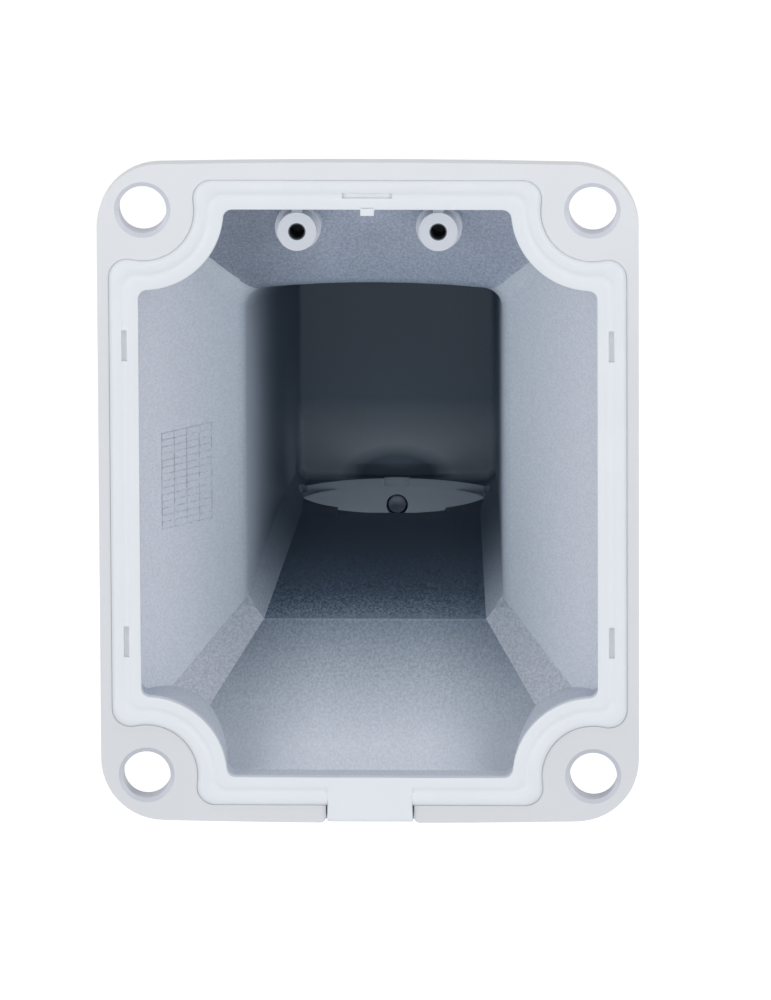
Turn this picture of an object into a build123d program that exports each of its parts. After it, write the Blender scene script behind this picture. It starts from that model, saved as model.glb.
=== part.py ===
from build123d import *
import math
import os

os.makedirs("parts", exist_ok=True)

# Camera wall bracket: a hollow cast arm that hangs a camera from a pipe socket.
# Frame: origin at the centre of the four wall bolts, on the back face of the plate.
# +X runs right and +Z up when the wall side is looked at, and +Y points away from the wall.

# Wall plate
plate_width = 118.0
plate_height = 147.2
plate_thickness = 6.0
plate_corner_radius = 13.8
plate_crown = 0.8
plate_edge_round = 1.6

# Wall bolts
bolt_inset_x = 10.0
bolt_inset_z = 10.6
bolt_hole_radius = 5.2
bolt_hole_lead_in = 1.0
bolt_hole_lead_in_depth = 0.45
bolt_pocket_radius = 14.0

# Hollow: a straight mouth, a funnel and a box passage to the head
casting_wall = 3.5
mouth_inset_x = 8.7
mouth_inset_z = 10.3
mouth_depth = 7.0
mouth_corner_radius = 2.0
funnel_overlap = 0.3
pocket_wall = 3.5
passage_start = 35.0
passage_end = 176.0
passage_start_half_width = 28.4
passage_end_half_width = 22.7
passage_start_top = 40.5
passage_end_top = 20.0
passage_start_floor = -35.2
landing_start = 134.0
landing_floor = -31.4
ceiling_crown = 1.6
ceiling_corner_radius = 4.5
mouth_floor_bevel_x = 6.0
mouth_floor_bevel_z = 10.6
passage_bevel_x = 3.8
passage_bevel_z = 5.0
landing_bevel_x = 4.0
landing_bevel_z = 4.4
head_bevel = 1.6
far_wall_round = 1.2
passage_mouth_round = 8.0

# Outside of the arm
flare_inset_x = 3.0
flare_inset_z = 4.1
flare_corner_radius = 8.0
flare_end = 38.0
flare_blend_radius = 10.0
arm_edge_radius = 8.0
head_edge_radius = 11.0
nose_radius = 10.0
nose_overhang = 1.5

# Pipe socket under the head
outlet_distance = 152.0
outlet_near_radius = 22.0
outlet_near_shift = 5.8
outlet_far_radius = 28.0
outlet_far_shift = -6.65
outlet_flat_distance = 15.5
ledge_bottom = -33.3
socket_radius = 22.42
socket_length = 22.0
socket_lead_in = 1.2
collar_wall = 6.1
collar_edge_round = 1.5
floor_relief_width = 24.6
floor_relief_length = 8.0
floor_relief_depth = 0.6
wall_relief_width = 18.5
wall_relief_height = 2.8
wall_relief_depth = 1.2
ledge_notch_width = 5.8

# Lock screw
lock_thread_radius = 2.5
lock_thread_clearance = 0.05
lock_screw_length = 5.0
lock_screw_drop = 4.6
lock_screw_recess = 0.8
lock_screw_tip_round = 0.4
lock_hex_across_flats = 2.5
lock_hex_depth = 2.2
lock_cup_radius = 1.3
lock_cup_depth = 0.7

# Screw bosses inside the mouth
boss_spacing = 30.8
boss_drop = 5.3
boss_face_depth = 1.0
boss_face_radius = 4.25
boss_base_radius = 5.05
boss_step_depth = 6.0
boss_pilot_radius = 1.65
boss_pilot_depth = 10.0
boss_rib_width = 2.3
boss_rib_drop = 1.5

# Gasket and its seat
seat_depth = 1.5
seat_gap = 0.2
gasket_proud = 1.0
gasket_inset_x = 2.7
gasket_inset_z = 4.1
gasket_width = 6.3
gasket_outer_relief_radius = 11.4
gasket_outer_corner_radius = 4.0
gasket_inner_corner_radius = 2.0
ridge_width = 2.5
groove_width = 1.3
groove_drop = 0.7
band_drop = 0.2
rib_gap = 0.1
side_slot_length = 7.0
side_slot_inset_z = 40.6
top_slot_length = 11.0
rib_drop = 0.05
tab_width = 3.0
tab_reach = 1.3
notch_width = 19.4
notch_depth = 4.0
notch_corner_round = 1.2
tongue_gap = 0.35
tongue_short = 0.4

# Worked out from the sizes above
bolt_spacing_x = plate_width - 2 * bolt_inset_x
bolt_spacing_z = plate_height - 2 * bolt_inset_z
mouth_width = plate_width - 2 * mouth_inset_x
mouth_height = plate_height - 2 * mouth_inset_z
flare_width = plate_width - 2 * flare_inset_x
flare_height = plate_height - 2 * flare_inset_z
gasket_outer_width = plate_width - 2 * gasket_inset_x
gasket_outer_height = plate_height - 2 * gasket_inset_z
side_slot_height = plate_height / 2 - side_slot_inset_z
boss_height = mouth_height / 2 - boss_drop
collar_radius = socket_radius + collar_wall
arm_end = outlet_distance + collar_radius + nose_overhang
socket_bottom = ledge_bottom - socket_length
lock_height = ledge_bottom - lock_screw_drop
lock_tip = outlet_distance + socket_radius + lock_screw_recess
mouth_relief_radius = bolt_pocket_radius + pocket_wall
outlet_flat = outlet_distance - outlet_flat_distance
gasket_inner_height = gasket_outer_height - 2 * gasket_width
rib_x = gasket_outer_width / 2 - ridge_width - groove_width / 2
rib_z = gasket_outer_height / 2 - ridge_width - groove_width / 2
notch_rise = gasket_inset_z + seat_gap
tongue_width = notch_width - 2 * tongue_gap
tongue_length = gasket_inset_z - tongue_short


def wall_plane(distance):
    """A plane parallel to the wall, its own x along X and its own y along Z."""
    return Plane.XZ.offset(-distance)


def between(start_value, end_value, distance):
    """The value at a distance from the wall, running evenly from one end of the passage to the other."""
    share = (distance - passage_start) / (passage_end - passage_start)
    return start_value + share * (end_value - start_value)


def arm_outline(distance, corner_radius):
    """A section of the outside of the arm, one wall outside the passage, drawn into the open sketch."""
    width = 2 * between(passage_start_half_width, passage_end_half_width, distance) + 2 * casting_wall
    top = between(passage_start_top, passage_end_top, distance) + casting_wall
    underside = between(passage_start_floor, landing_floor, distance) - casting_wall
    with Locations((0, (top + underside) / 2)):
        RectangleRounded(width, top - underside, corner_radius)


def relieved_outline(width, height, relief_radius, corner_radius):
    """A rectangle with a round bite at each wall bolt."""
    with BuildSketch(mode=Mode.PRIVATE) as outline:
        Rectangle(width, height)
        with GridLocations(bolt_spacing_x, bolt_spacing_z, 2, 2):
            Circle(relief_radius, mode=Mode.SUBTRACT)
        fillet(outline.vertices(), corner_radius)
    return outline.sketch


def gasket_outline(inset):
    """The outline of the gasket, moved in from its outer edge."""
    corner_change = (gasket_inner_corner_radius - gasket_outer_corner_radius) / gasket_width
    return relieved_outline(
        gasket_outer_width - 2 * inset,
        gasket_outer_height - 2 * inset,
        gasket_outer_relief_radius + inset,
        gasket_outer_corner_radius + corner_change * inset,
    )


def gasket_ring(outer_inset, inner_inset):
    """The part of the gasket between two distances in from its outer edge."""
    outer = gasket_outline(outer_inset)
    inner = gasket_outline(inner_inset)
    add(outer)
    add(inner, mode=Mode.SUBTRACT)


def chamber_outline(half_width, top, floor, crown, corner_radius, bevel_x, bevel_z):
    """A section of the hollow: crowned ceiling, round upper corners, bevelled lower ones."""
    shoulder = top - crown
    with BuildSketch(mode=Mode.PRIVATE) as outline:
        with BuildLine():
            Polyline(
                (half_width, shoulder),
                (half_width, floor + bevel_z),
                (half_width - bevel_x, floor),
                (bevel_x - half_width, floor),
                (-half_width, floor + bevel_z),
                (-half_width, shoulder),
            )
            ThreePointArc((-half_width, shoulder), (0, top), (half_width, shoulder))
        make_face()
        upper_corners = outline.vertices().group_by(Axis.Y)[-1]
        fillet(upper_corners, corner_radius)
    return outline.sketch


def passage_outline(distance, floor, bevel_x, bevel_z):
    return chamber_outline(
        between(passage_start_half_width, passage_end_half_width, distance),
        between(passage_start_top, passage_end_top, distance),
        floor,
        ceiling_crown,
        ceiling_corner_radius,
        bevel_x,
        bevel_z,
    )


# Hollow of the arm: mouth, funnel and passage, from the wall to the far wall of the head
with BuildPart() as hollow:
    with BuildSketch(wall_plane(mouth_depth)):
        add(
            chamber_outline(
                mouth_width / 2 + funnel_overlap,
                mouth_height / 2 + funnel_overlap,
                -mouth_height / 2 - funnel_overlap,
                plate_crown,
                mouth_corner_radius,
                mouth_floor_bevel_x,
                mouth_floor_bevel_z,
            )
        )
    with BuildSketch(wall_plane(passage_start)):
        add(passage_outline(passage_start, passage_start_floor, passage_bevel_x, passage_bevel_z))
    loft(ruled=True)
    with BuildSketch(wall_plane(0)):
        Rectangle(mouth_width, mouth_height)
    extrude(amount=-mouth_depth)
    with BuildSketch(wall_plane(0)):
        add(relieved_outline(mouth_width, mouth_height, mouth_relief_radius, mouth_corner_radius))
    extrude(amount=-passage_start, mode=Mode.INTERSECT)
    with BuildSketch(wall_plane(passage_start)):
        add(passage_outline(passage_start, passage_start_floor, passage_bevel_x, passage_bevel_z))
    with BuildSketch(wall_plane(landing_start)):
        add(passage_outline(landing_start, landing_floor, landing_bevel_x, landing_bevel_z))
    with BuildSketch(wall_plane(passage_end)):
        add(passage_outline(passage_end, landing_floor, head_bevel, head_bevel))
    loft(ruled=True)
    fillet(hollow.faces().sort_by(Axis.Y)[-1].edges(), far_wall_round)
    passage_mouth = hollow.edges().filter_by_position(Axis.Y, passage_start - 0.01, passage_start + 0.01)
    passage_sides = passage_mouth.filter_by(Axis.Z)
    fillet(passage_sides, passage_mouth_round)

    # Room kept for the two screw bosses and the rib from each to the wall above it
    with BuildSketch(wall_plane(boss_face_depth)):
        with Locations((0, boss_height)):
            with GridLocations(boss_spacing, 0, 2, 1):
                Circle(boss_face_radius)
    extrude(amount=-(passage_start - boss_face_depth), mode=Mode.SUBTRACT)
    with BuildSketch(wall_plane(boss_face_depth + boss_step_depth)):
        with Locations((0, boss_height)):
            with GridLocations(boss_spacing, 0, 2, 1):
                Circle(boss_base_radius)
                Rectangle(boss_rib_width, mouth_height / 2 - boss_height, align=(Align.CENTER, Align.MIN))
    extrude(amount=-(passage_start - boss_face_depth - boss_step_depth), mode=Mode.SUBTRACT)
    with BuildSketch(wall_plane(boss_face_depth + boss_rib_drop)):
        with Locations((0, boss_height)):
            with GridLocations(boss_spacing, 0, 2, 1):
                Rectangle(boss_rib_width, mouth_height / 2 - boss_height, align=(Align.CENTER, Align.MIN))
    extrude(amount=-(passage_start - boss_face_depth - boss_rib_drop), mode=Mode.SUBTRACT)

# Arm casting
with BuildPart() as arm_casting:
    # Plate, its upper and lower edges slightly bowed
    half_width = plate_width / 2
    shoulder = plate_height / 2 - plate_crown
    with BuildSketch(wall_plane(0)) as plate_sketch:
        with BuildLine():
            Line((-half_width, -shoulder), (-half_width, shoulder))
            ThreePointArc((-half_width, shoulder), (0, plate_height / 2), (half_width, shoulder))
            Line((half_width, shoulder), (half_width, -shoulder))
            ThreePointArc((half_width, -shoulder), (0, -plate_height / 2), (-half_width, -shoulder))
        make_face()
        fillet(plate_sketch.vertices(), plate_corner_radius)
    extrude(amount=-plate_thickness)
    fillet(arm_casting.faces().sort_by(Axis.Y)[-1].edges(), plate_edge_round)

    # Flare from the plate to the arm
    with BuildSketch(wall_plane(plate_thickness)):
        RectangleRounded(flare_width, flare_height, flare_corner_radius)
    with BuildSketch(wall_plane(flare_end)):
        arm_outline(flare_end, arm_edge_radius)
    loft(ruled=True)

    # Box arm out to the rounded head
    with BuildSketch(wall_plane(flare_end)):
        arm_outline(flare_end, arm_edge_radius)
    with BuildSketch(wall_plane(arm_end)):
        arm_outline(arm_end, head_edge_radius)
    loft(ruled=True)
    fillet(arm_casting.faces().sort_by(Axis.Y)[-1].edges(), nose_radius)
    waist = arm_casting.edges().filter_by_position(Axis.Y, flare_end - 0.01, flare_end + 0.01)
    fillet(waist, flare_blend_radius)

    # Collar of the pipe socket
    with BuildSketch(Plane.XY.offset(socket_bottom)):
        with Locations((0, outlet_distance)):
            Circle(collar_radius)
    extrude(amount=landing_floor - socket_bottom)
    collar_end = arm_casting.edges().filter_by_position(Axis.Z, socket_bottom - 0.01, socket_bottom + 0.01)
    fillet(collar_end.filter_by(GeomType.CIRCLE), collar_edge_round)

    # Open pockets that give the wall bolts their room
    with BuildSketch(wall_plane(plate_thickness)):
        with GridLocations(bolt_spacing_x, bolt_spacing_z, 2, 2):
            Circle(bolt_pocket_radius)
    extrude(amount=-(flare_end - plate_thickness), mode=Mode.SUBTRACT)

    # Hollow
    add(hollow.part, mode=Mode.SUBTRACT)

    # Outlet through the floor: round on the near side, with a flat, and of a larger radius on the far side
    with BuildSketch(Plane.XY.offset(ledge_bottom)):
        with Locations((0, outlet_distance + outlet_near_shift)):
            Circle(outlet_near_radius)
        with Locations((0, outlet_distance + outlet_far_shift)):
            Circle(outlet_far_radius, mode=Mode.INTERSECT)
        with Locations((0, outlet_flat - outlet_near_radius / 2)):
            Rectangle(2 * outlet_near_radius, outlet_near_radius, mode=Mode.SUBTRACT)
    extrude(amount=landing_floor + landing_bevel_z - ledge_bottom, mode=Mode.SUBTRACT)

    # Pipe socket below the ledge, wider than the outlet
    with BuildSketch(Plane.XY.offset(socket_bottom)):
        with Locations((0, outlet_distance)):
            Circle(socket_radius)
    extrude(amount=socket_length, mode=Mode.SUBTRACT)
    with BuildSketch(Plane.XY.offset(socket_bottom)):
        with Locations((0, outlet_distance)):
            Circle(socket_radius + socket_lead_in)
    extrude(amount=socket_lead_in, taper=45, mode=Mode.SUBTRACT)

    # Shallow reliefs in the floor and in the far wall, and the notch through the ledge
    with BuildSketch(Plane.XY.offset(landing_floor - floor_relief_depth)):
        with Locations((0, outlet_flat)):
            Rectangle(floor_relief_width, 2 * floor_relief_length)
    extrude(amount=2 * floor_relief_depth, mode=Mode.SUBTRACT)
    with BuildSketch(wall_plane(passage_end - far_wall_round)):
        with Locations((0, landing_floor)):
            Rectangle(wall_relief_width, wall_relief_height, align=(Align.CENTER, Align.MIN))
    extrude(amount=-(far_wall_round + wall_relief_depth), mode=Mode.SUBTRACT)
    with BuildSketch(Plane.XY.offset(ledge_bottom)):
        with Locations((0, outlet_distance)):
            Rectangle(ledge_notch_width, socket_radius, align=(Align.CENTER, Align.MIN))
    extrude(amount=landing_floor - ledge_bottom, mode=Mode.SUBTRACT)

    # Radial hole of the lock screw
    with BuildSketch(wall_plane(outlet_distance)):
        with Locations((0, lock_height)):
            Circle(lock_thread_radius)
    extrude(amount=-(collar_radius + nose_overhang), mode=Mode.SUBTRACT)

    # Seat of the gasket around the mouth, with its locating ribs
    with BuildSketch(wall_plane(0)):
        add(gasket_outline(-seat_gap))
    extrude(amount=-seat_depth, mode=Mode.SUBTRACT)
    with BuildSketch(wall_plane(rib_drop)):
        with GridLocations(2 * rib_x, 2 * side_slot_height, 2, 2):
            Rectangle(groove_width - 2 * rib_gap, side_slot_length - 2 * rib_gap)
        with Locations((0, rib_z)):
            Rectangle(top_slot_length - 2 * rib_gap, groove_width - 2 * rib_gap)
    extrude(amount=-(seat_depth - rib_drop))

    # Cable notch through the lower edge of the plate
    with BuildSketch(wall_plane(0)):
        with Locations((0, -plate_height / 2)):
            Rectangle(notch_width, 2 * notch_rise)
    extrude(amount=-notch_depth, mode=Mode.SUBTRACT)
    notch_corners = arm_casting.edges().filter_by(Axis.Y).group_by(Axis.Z)[0]
    fillet(notch_corners, notch_corner_round)

    # Wall bolt holes, eased where they meet the wall
    with BuildSketch(wall_plane(0)):
        with GridLocations(bolt_spacing_x, bolt_spacing_z, 2, 2):
            Circle(bolt_hole_radius)
    extrude(amount=-plate_thickness, mode=Mode.SUBTRACT)
    with BuildSketch(wall_plane(0)):
        with GridLocations(bolt_spacing_x, bolt_spacing_z, 2, 2):
            Circle(bolt_hole_radius + bolt_hole_lead_in)
    lead_in_angle = math.degrees(math.atan2(bolt_hole_lead_in, bolt_hole_lead_in_depth))
    extrude(amount=-bolt_hole_lead_in_depth, taper=lead_in_angle, mode=Mode.SUBTRACT)

    # Tapped holes of the two screw bosses
    with BuildSketch(wall_plane(boss_face_depth)):
        with Locations((0, boss_height)):
            with GridLocations(boss_spacing, 0, 2, 1):
                Circle(boss_pilot_radius)
    extrude(amount=-boss_pilot_depth, mode=Mode.SUBTRACT)

# Gasket in the seat: an outer ridge, a shallow groove and an inner band
with BuildPart() as wall_gasket:
    with BuildSketch(wall_plane(-gasket_proud)):
        gasket_ring(0, gasket_width)
    extrude(amount=-(seat_depth + gasket_proud))
    with BuildSketch(wall_plane(-gasket_proud)):
        gasket_ring(ridge_width + groove_width, gasket_width)
    extrude(amount=-band_drop, mode=Mode.SUBTRACT)
    with BuildSketch(wall_plane(-gasket_proud)):
        gasket_ring(ridge_width, ridge_width + groove_width)
    extrude(amount=-groove_drop, mode=Mode.SUBTRACT)

    # Tongue that closes the cable notch: flat across the gasket, thick where it plugs the notch
    with BuildSketch(wall_plane(band_drop - gasket_proud)):
        with Locations((0, -gasket_inner_height / 2)):
            Rectangle(tongue_width, gasket_width + tongue_length, align=(Align.CENTER, Align.MAX))
    extrude(amount=-(gasket_proud - band_drop + seat_depth))
    with BuildSketch(wall_plane(seat_depth)):
        with Locations((0, -gasket_outer_height / 2)):
            Rectangle(tongue_width, tongue_length, align=(Align.CENTER, Align.MAX))
    extrude(amount=-(notch_depth - tongue_gap - seat_depth))

    # Small tab at the top, and the slots that drop over the locating ribs
    with BuildSketch(wall_plane(band_drop - gasket_proud)):
        with Locations((0, gasket_inner_height / 2)):
            Rectangle(tab_width, tab_reach, align=(Align.CENTER, Align.MAX))
    extrude(amount=-(gasket_proud - band_drop + seat_depth))
    with BuildSketch(wall_plane(-gasket_proud)):
        with GridLocations(2 * rib_x, 2 * side_slot_height, 2, 2):
            Rectangle(groove_width, side_slot_length)
        with Locations((0, rib_z)):
            Rectangle(top_slot_length, groove_width)
    extrude(amount=-(seat_depth + gasket_proud), mode=Mode.SUBTRACT)

# Lock screw: a short set screw with a hexagon socket outside and a cup point inside
with BuildPart() as locking_screw:
    with BuildSketch(wall_plane(lock_tip)):
        with Locations((0, lock_height)):
            Circle(lock_thread_radius - lock_thread_clearance)
    extrude(amount=-lock_screw_length)
    chamfer(locking_screw.edges().filter_by(GeomType.CIRCLE), lock_screw_tip_round)
    with BuildSketch(wall_plane(lock_tip + lock_screw_length)):
        with Locations((0, lock_height)):
            RegularPolygon(lock_hex_across_flats / 2, 6, major_radius=False)
    extrude(amount=lock_hex_depth, mode=Mode.SUBTRACT)
    with BuildSketch(Plane.YZ) as cup:
        with BuildLine():
            Polyline(
                (lock_tip, lock_height),
                (lock_tip + lock_cup_depth, lock_height),
                (lock_tip, lock_height + lock_cup_radius),
                close=True,
            )
        make_face()
    revolve(axis=Axis((0, lock_tip, lock_height), (0, 1, 0)), mode=Mode.SUBTRACT)

pieces = {
    "arm_casting": arm_casting,
    "wall_gasket": wall_gasket,
    "locking_screw": locking_screw,
}
for name, piece in pieces.items():
    piece.part.label = name
    export_step(piece.part, f"parts/{name}.step")
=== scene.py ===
import bmesh
import bpy
import math
from mathutils import Matrix, Quaternion, Vector


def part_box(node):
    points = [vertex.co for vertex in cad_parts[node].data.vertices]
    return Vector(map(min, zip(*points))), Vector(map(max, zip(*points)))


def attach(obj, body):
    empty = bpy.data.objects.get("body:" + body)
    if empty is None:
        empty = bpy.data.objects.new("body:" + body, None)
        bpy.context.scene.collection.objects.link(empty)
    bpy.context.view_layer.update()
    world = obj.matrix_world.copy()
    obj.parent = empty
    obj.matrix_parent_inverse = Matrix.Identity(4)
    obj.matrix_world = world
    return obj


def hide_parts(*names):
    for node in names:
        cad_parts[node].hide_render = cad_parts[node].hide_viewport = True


# Camera wall bracket, seen from the side that goes against the wall.
# x to the right, z up, y away from the wall. Sizes are in millimetres unless a name says otherwise.
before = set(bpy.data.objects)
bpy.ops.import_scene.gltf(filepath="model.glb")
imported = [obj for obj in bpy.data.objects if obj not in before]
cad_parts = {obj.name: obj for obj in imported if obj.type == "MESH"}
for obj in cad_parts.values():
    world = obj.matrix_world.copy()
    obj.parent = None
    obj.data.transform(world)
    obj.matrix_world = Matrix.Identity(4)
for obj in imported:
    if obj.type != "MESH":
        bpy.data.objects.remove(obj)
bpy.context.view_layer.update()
scene = bpy.context.scene
scene.view_settings.view_transform = "Standard"
mm = 0.001

print("stage: camera, lamps and floor")

view = {
    "azimuth": 2.1,          # degrees round the object
    "elevation": 11.5,       # degrees above level
    "distance": 3000.0,
    "lens": 494.4,
    "roll": 0.26,            # degrees, clockwise
    "shiftRight": 3.713,     # camera moved sideways, so the object sits as in the photo
    "shiftUp": -1.25,
}
azimuth = math.radians(view["azimuth"])
elevation = math.radians(view["elevation"])
back = Vector((
    math.sin(azimuth) * math.cos(elevation),
    -math.cos(azimuth) * math.cos(elevation),
    math.sin(elevation),
))
turn = (-back).to_track_quat("-Z", "Y") @ Quaternion((0, 0, 1), -math.radians(view["roll"]))
cameraData = bpy.data.cameras.new("camera")
cameraData.sensor_fit = "VERTICAL"
cameraData.sensor_width = 36.0
cameraData.sensor_height = 36.0
cameraData.lens = view["lens"]
cameraData.clip_end = 50.0
camera = bpy.data.objects.new("camera", cameraData)
camera.rotation_mode = "QUATERNION"
camera.rotation_quaternion = turn
sideways = turn @ Vector((view["shiftRight"], view["shiftUp"], 0))
camera.location = (back * view["distance"] + sideways) * mm
scene.collection.objects.link(camera)
scene.camera = camera

studio = {
    "skyLevel": 0.54,                    # even light from all round
    "skyTone": (0.97, 0.985, 1.0, 1),
    "sideLamp": {"place": (1.30, -1.35, 0.40), "size": 0.9, "power": 9.4},     # metres
    "topLamp": {"place": (0.0, -0.42, 1.30), "size": 0.8, "power": 2.0},
    "floorDrop": 0.30,                   # metres below the bolts' centre
    "floorSize": 8.0,
    "floorGlow": 0.55,
    "floorTone": (0.86, 0.86, 0.86, 1),
    "floorRoughness": 0.9,
}


def link(tree, source, target):
    tree.links.new(source, target)


def raysThatSeeWhite(tree):
    # 1 for rays from the camera, from reflections and through glass
    rays = tree.nodes.new("ShaderNodeLightPath")
    total = tree.nodes.new("ShaderNodeMath")
    total.operation = "MAXIMUM"
    link(tree, rays.outputs["Is Camera Ray"], total.inputs[0])
    link(tree, rays.outputs["Is Glossy Ray"], total.inputs[1])
    both = tree.nodes.new("ShaderNodeMath")
    both.operation = "MAXIMUM"
    link(tree, total.outputs[0], both.inputs[0])
    link(tree, rays.outputs["Is Transmission Ray"], both.inputs[1])
    return both.outputs[0]


def makeWorld():
    world = bpy.data.worlds.new("studio")
    world.use_nodes = True
    scene.world = world
    tree = world.node_tree
    soft = tree.nodes["Background"]
    soft.inputs["Color"].default_value = studio["skyTone"]
    soft.inputs["Strength"].default_value = studio["skyLevel"]
    white = tree.nodes.new("ShaderNodeBackground")
    white.inputs["Color"].default_value = (1, 1, 1, 1)
    white.inputs["Strength"].default_value = 1.0
    choose = tree.nodes.new("ShaderNodeMixShader")
    link(tree, raysThatSeeWhite(tree), choose.inputs[0])
    link(tree, soft.outputs[0], choose.inputs[1])
    link(tree, white.outputs[0], choose.inputs[2])
    link(tree, choose.outputs[0], tree.nodes["World Output"].inputs["Surface"])


def makeLamp(name, lampSettings, side=1):
    lampData = bpy.data.lights.new(name, "AREA")
    lampData.shape = "DISK"
    lampData.size = lampSettings["size"]
    lampData.energy = lampSettings["power"]
    lamp = bpy.data.objects.new(name, lampData)
    across, front, up = lampSettings["place"]
    lamp.location = (side * across, front, up)
    lamp.rotation_mode = "QUATERNION"
    lamp.rotation_quaternion = (-lamp.location).to_track_quat("-Z", "Y")
    scene.collection.objects.link(lamp)


def makeFloor():
    half = studio["floorSize"] / 2
    corners = [(-half, -half), (half, -half), (half, half), (-half, half)]
    mesh = bpy.data.meshes.new("floor")
    mesh.from_pydata([(x, y, -studio["floorDrop"]) for x, y in corners], [], [(0, 1, 2, 3)])
    floor = bpy.data.objects.new("floor", mesh)
    scene.collection.objects.link(floor)
    material = bpy.data.materials.new("floorPaper")
    material.use_nodes = True
    tree = material.node_tree
    paper = tree.nodes["Principled BSDF"]
    paper.inputs["Base Color"].default_value = studio["floorTone"]
    paper.inputs["Roughness"].default_value = studio["floorRoughness"]
    paper.inputs["Emission Color"].default_value = (1, 1, 1, 1)
    glow = tree.nodes.new("ShaderNodeMath")
    glow.operation = "MULTIPLY"
    glow.inputs[1].default_value = studio["floorGlow"]
    link(tree, raysThatSeeWhite(tree), glow.inputs[0])
    link(tree, glow.outputs[0], paper.inputs["Emission Strength"])
    below = tree.nodes.new("ShaderNodeNewGeometry")
    clear = tree.nodes.new("ShaderNodeBsdfTransparent")
    choose = tree.nodes.new("ShaderNodeMixShader")
    link(tree, below.outputs["Backfacing"], choose.inputs[0])
    link(tree, paper.outputs[0], choose.inputs[1])
    link(tree, clear.outputs[0], choose.inputs[2])
    link(tree, choose.outputs[0], tree.nodes["Material Output"].inputs["Surface"])
    mesh.materials.append(material)


makeWorld()
makeLamp("leftLamp", studio["sideLamp"], -1)
makeLamp("rightLamp", studio["sideLamp"])
makeLamp("topLamp", studio["topLamp"])
makeFloor()

print("stage: materials")


def calc(tree, operation, first, second=None):
    # one maths node; a value is a number or another node's output
    node = tree.nodes.new("ShaderNodeMath")
    node.operation = operation
    for socket, value in zip(node.inputs, (first, second)):
        if value is None:
            continue
        if isinstance(value, (int, float)):
            socket.default_value = value
        else:
            link(tree, value, socket)
    return node.outputs[0]


def slope(tree, depth, nearDepth, nearValue, farDepth, farValue):
    # straight line through two points, as a value over depth
    rate = (farValue - nearValue) / (farDepth - nearDepth)
    return calc(tree, "ADD", calc(tree, "MULTIPLY", depth, rate), nearValue - rate * nearDepth)


def blend(tree, amount, first, second, mode="MIX"):
    # colour mix; first and second are colours or outputs
    node = tree.nodes.new("ShaderNodeMix")
    node.data_type = "RGBA"
    node.blend_type = mode
    sockets = (node.inputs[0], node.inputs[6], node.inputs[7])
    for socket, value in zip(sockets, (amount, first, second)):
        if isinstance(value, (int, float, tuple)):
            socket.default_value = value
        else:
            link(tree, value, socket)
    return node.outputs[2]


def grain(tree, scale, detail=2.0, along=1.0):
    # noise on the object's own coordinates, scale per metre; an along below 1 draws it out in depth
    place = tree.nodes.new("ShaderNodeTexCoord")
    drawn = tree.nodes.new("ShaderNodeVectorMath")
    drawn.operation = "MULTIPLY"
    drawn.inputs[1].default_value = (1.0, along, 1.0)
    link(tree, place.outputs["Object"], drawn.inputs[0])
    noise = tree.nodes.new("ShaderNodeTexNoise")
    noise.inputs["Scale"].default_value = scale
    noise.inputs["Detail"].default_value = detail
    link(tree, drawn.outputs[0], noise.inputs["Vector"])
    return noise.outputs["Fac"]


def stretch(tree, value, low, high, start=0.0, end=1.0):
    # start where the value is low, end where it is high, and straight between the two
    node = tree.nodes.new("ShaderNodeMapRange")
    node.inputs["From Min"].default_value = low
    node.inputs["From Max"].default_value = high
    node.inputs["To Min"].default_value = start
    node.inputs["To Max"].default_value = end
    link(tree, value, node.inputs["Value"])
    return node.outputs["Result"]


def relief(tree, height, strength, distance):
    # bump, with its distance in metres
    bump = tree.nodes.new("ShaderNodeBump")
    bump.inputs["Distance"].default_value = distance
    bump.inputs["Strength"].default_value = strength
    link(tree, height, bump.inputs["Height"])
    return bump.outputs["Normal"]


def startMaterial(name, roughness, metallic=0.0):
    material = bpy.data.materials.new(name)
    material.use_nodes = True
    tree = material.node_tree
    shader = tree.nodes["Principled BSDF"]
    shader.inputs["Roughness"].default_value = roughness
    shader.inputs["Metallic"].default_value = metallic
    return material, tree, shader


coat = {                                      # colours; inside darker from the mouth to the head, partly a thinner coat and partly painted shade
    "outside": (0.70, 0.715, 0.745, 1),
    "mouth": (0.62, 0.655, 0.73, 1),
    "neck": (0.48, 0.535, 0.61, 1),
    "head": (0.205, 0.27, 0.35, 1),
    "mouthFloorShade": (0.53, 0.57, 0.64, 1),      # and darker still on the floor, as painted shade
    "slopeFootShade": (0.17, 0.215, 0.27, 1),
    "neckFloor": (0.245, 0.315, 0.39, 1),
    "headFloorShade": (0.14, 0.19, 0.26, 1),
    # painted light: paler foot of the head's end wall, over the outlet
    "headWallFootLight": (0.52, 0.59, 0.66, 1),
    # painted shade: the socket's bore darker than the coat
    "socketWallShade": (0.35, 0.42, 0.49, 1),
    "bossFace": (0.575, 0.605, 0.665, 1),
    # painted shade: near black in the bosses' tapped holes
    "hole": (0.05, 0.06, 0.075, 1),
    "roughness": 0.42,
    "peelScale": 1100.0,                      # per metre
    "peelHeight": 0.12,
    "patchScale": 45.0,
    "patchNoise": (0.3, 0.7),
    "patchTone": (0.985, 1.01),
    "reliefStrength": 0.22,
    "reliefDistance": 0.0001,
}
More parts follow.
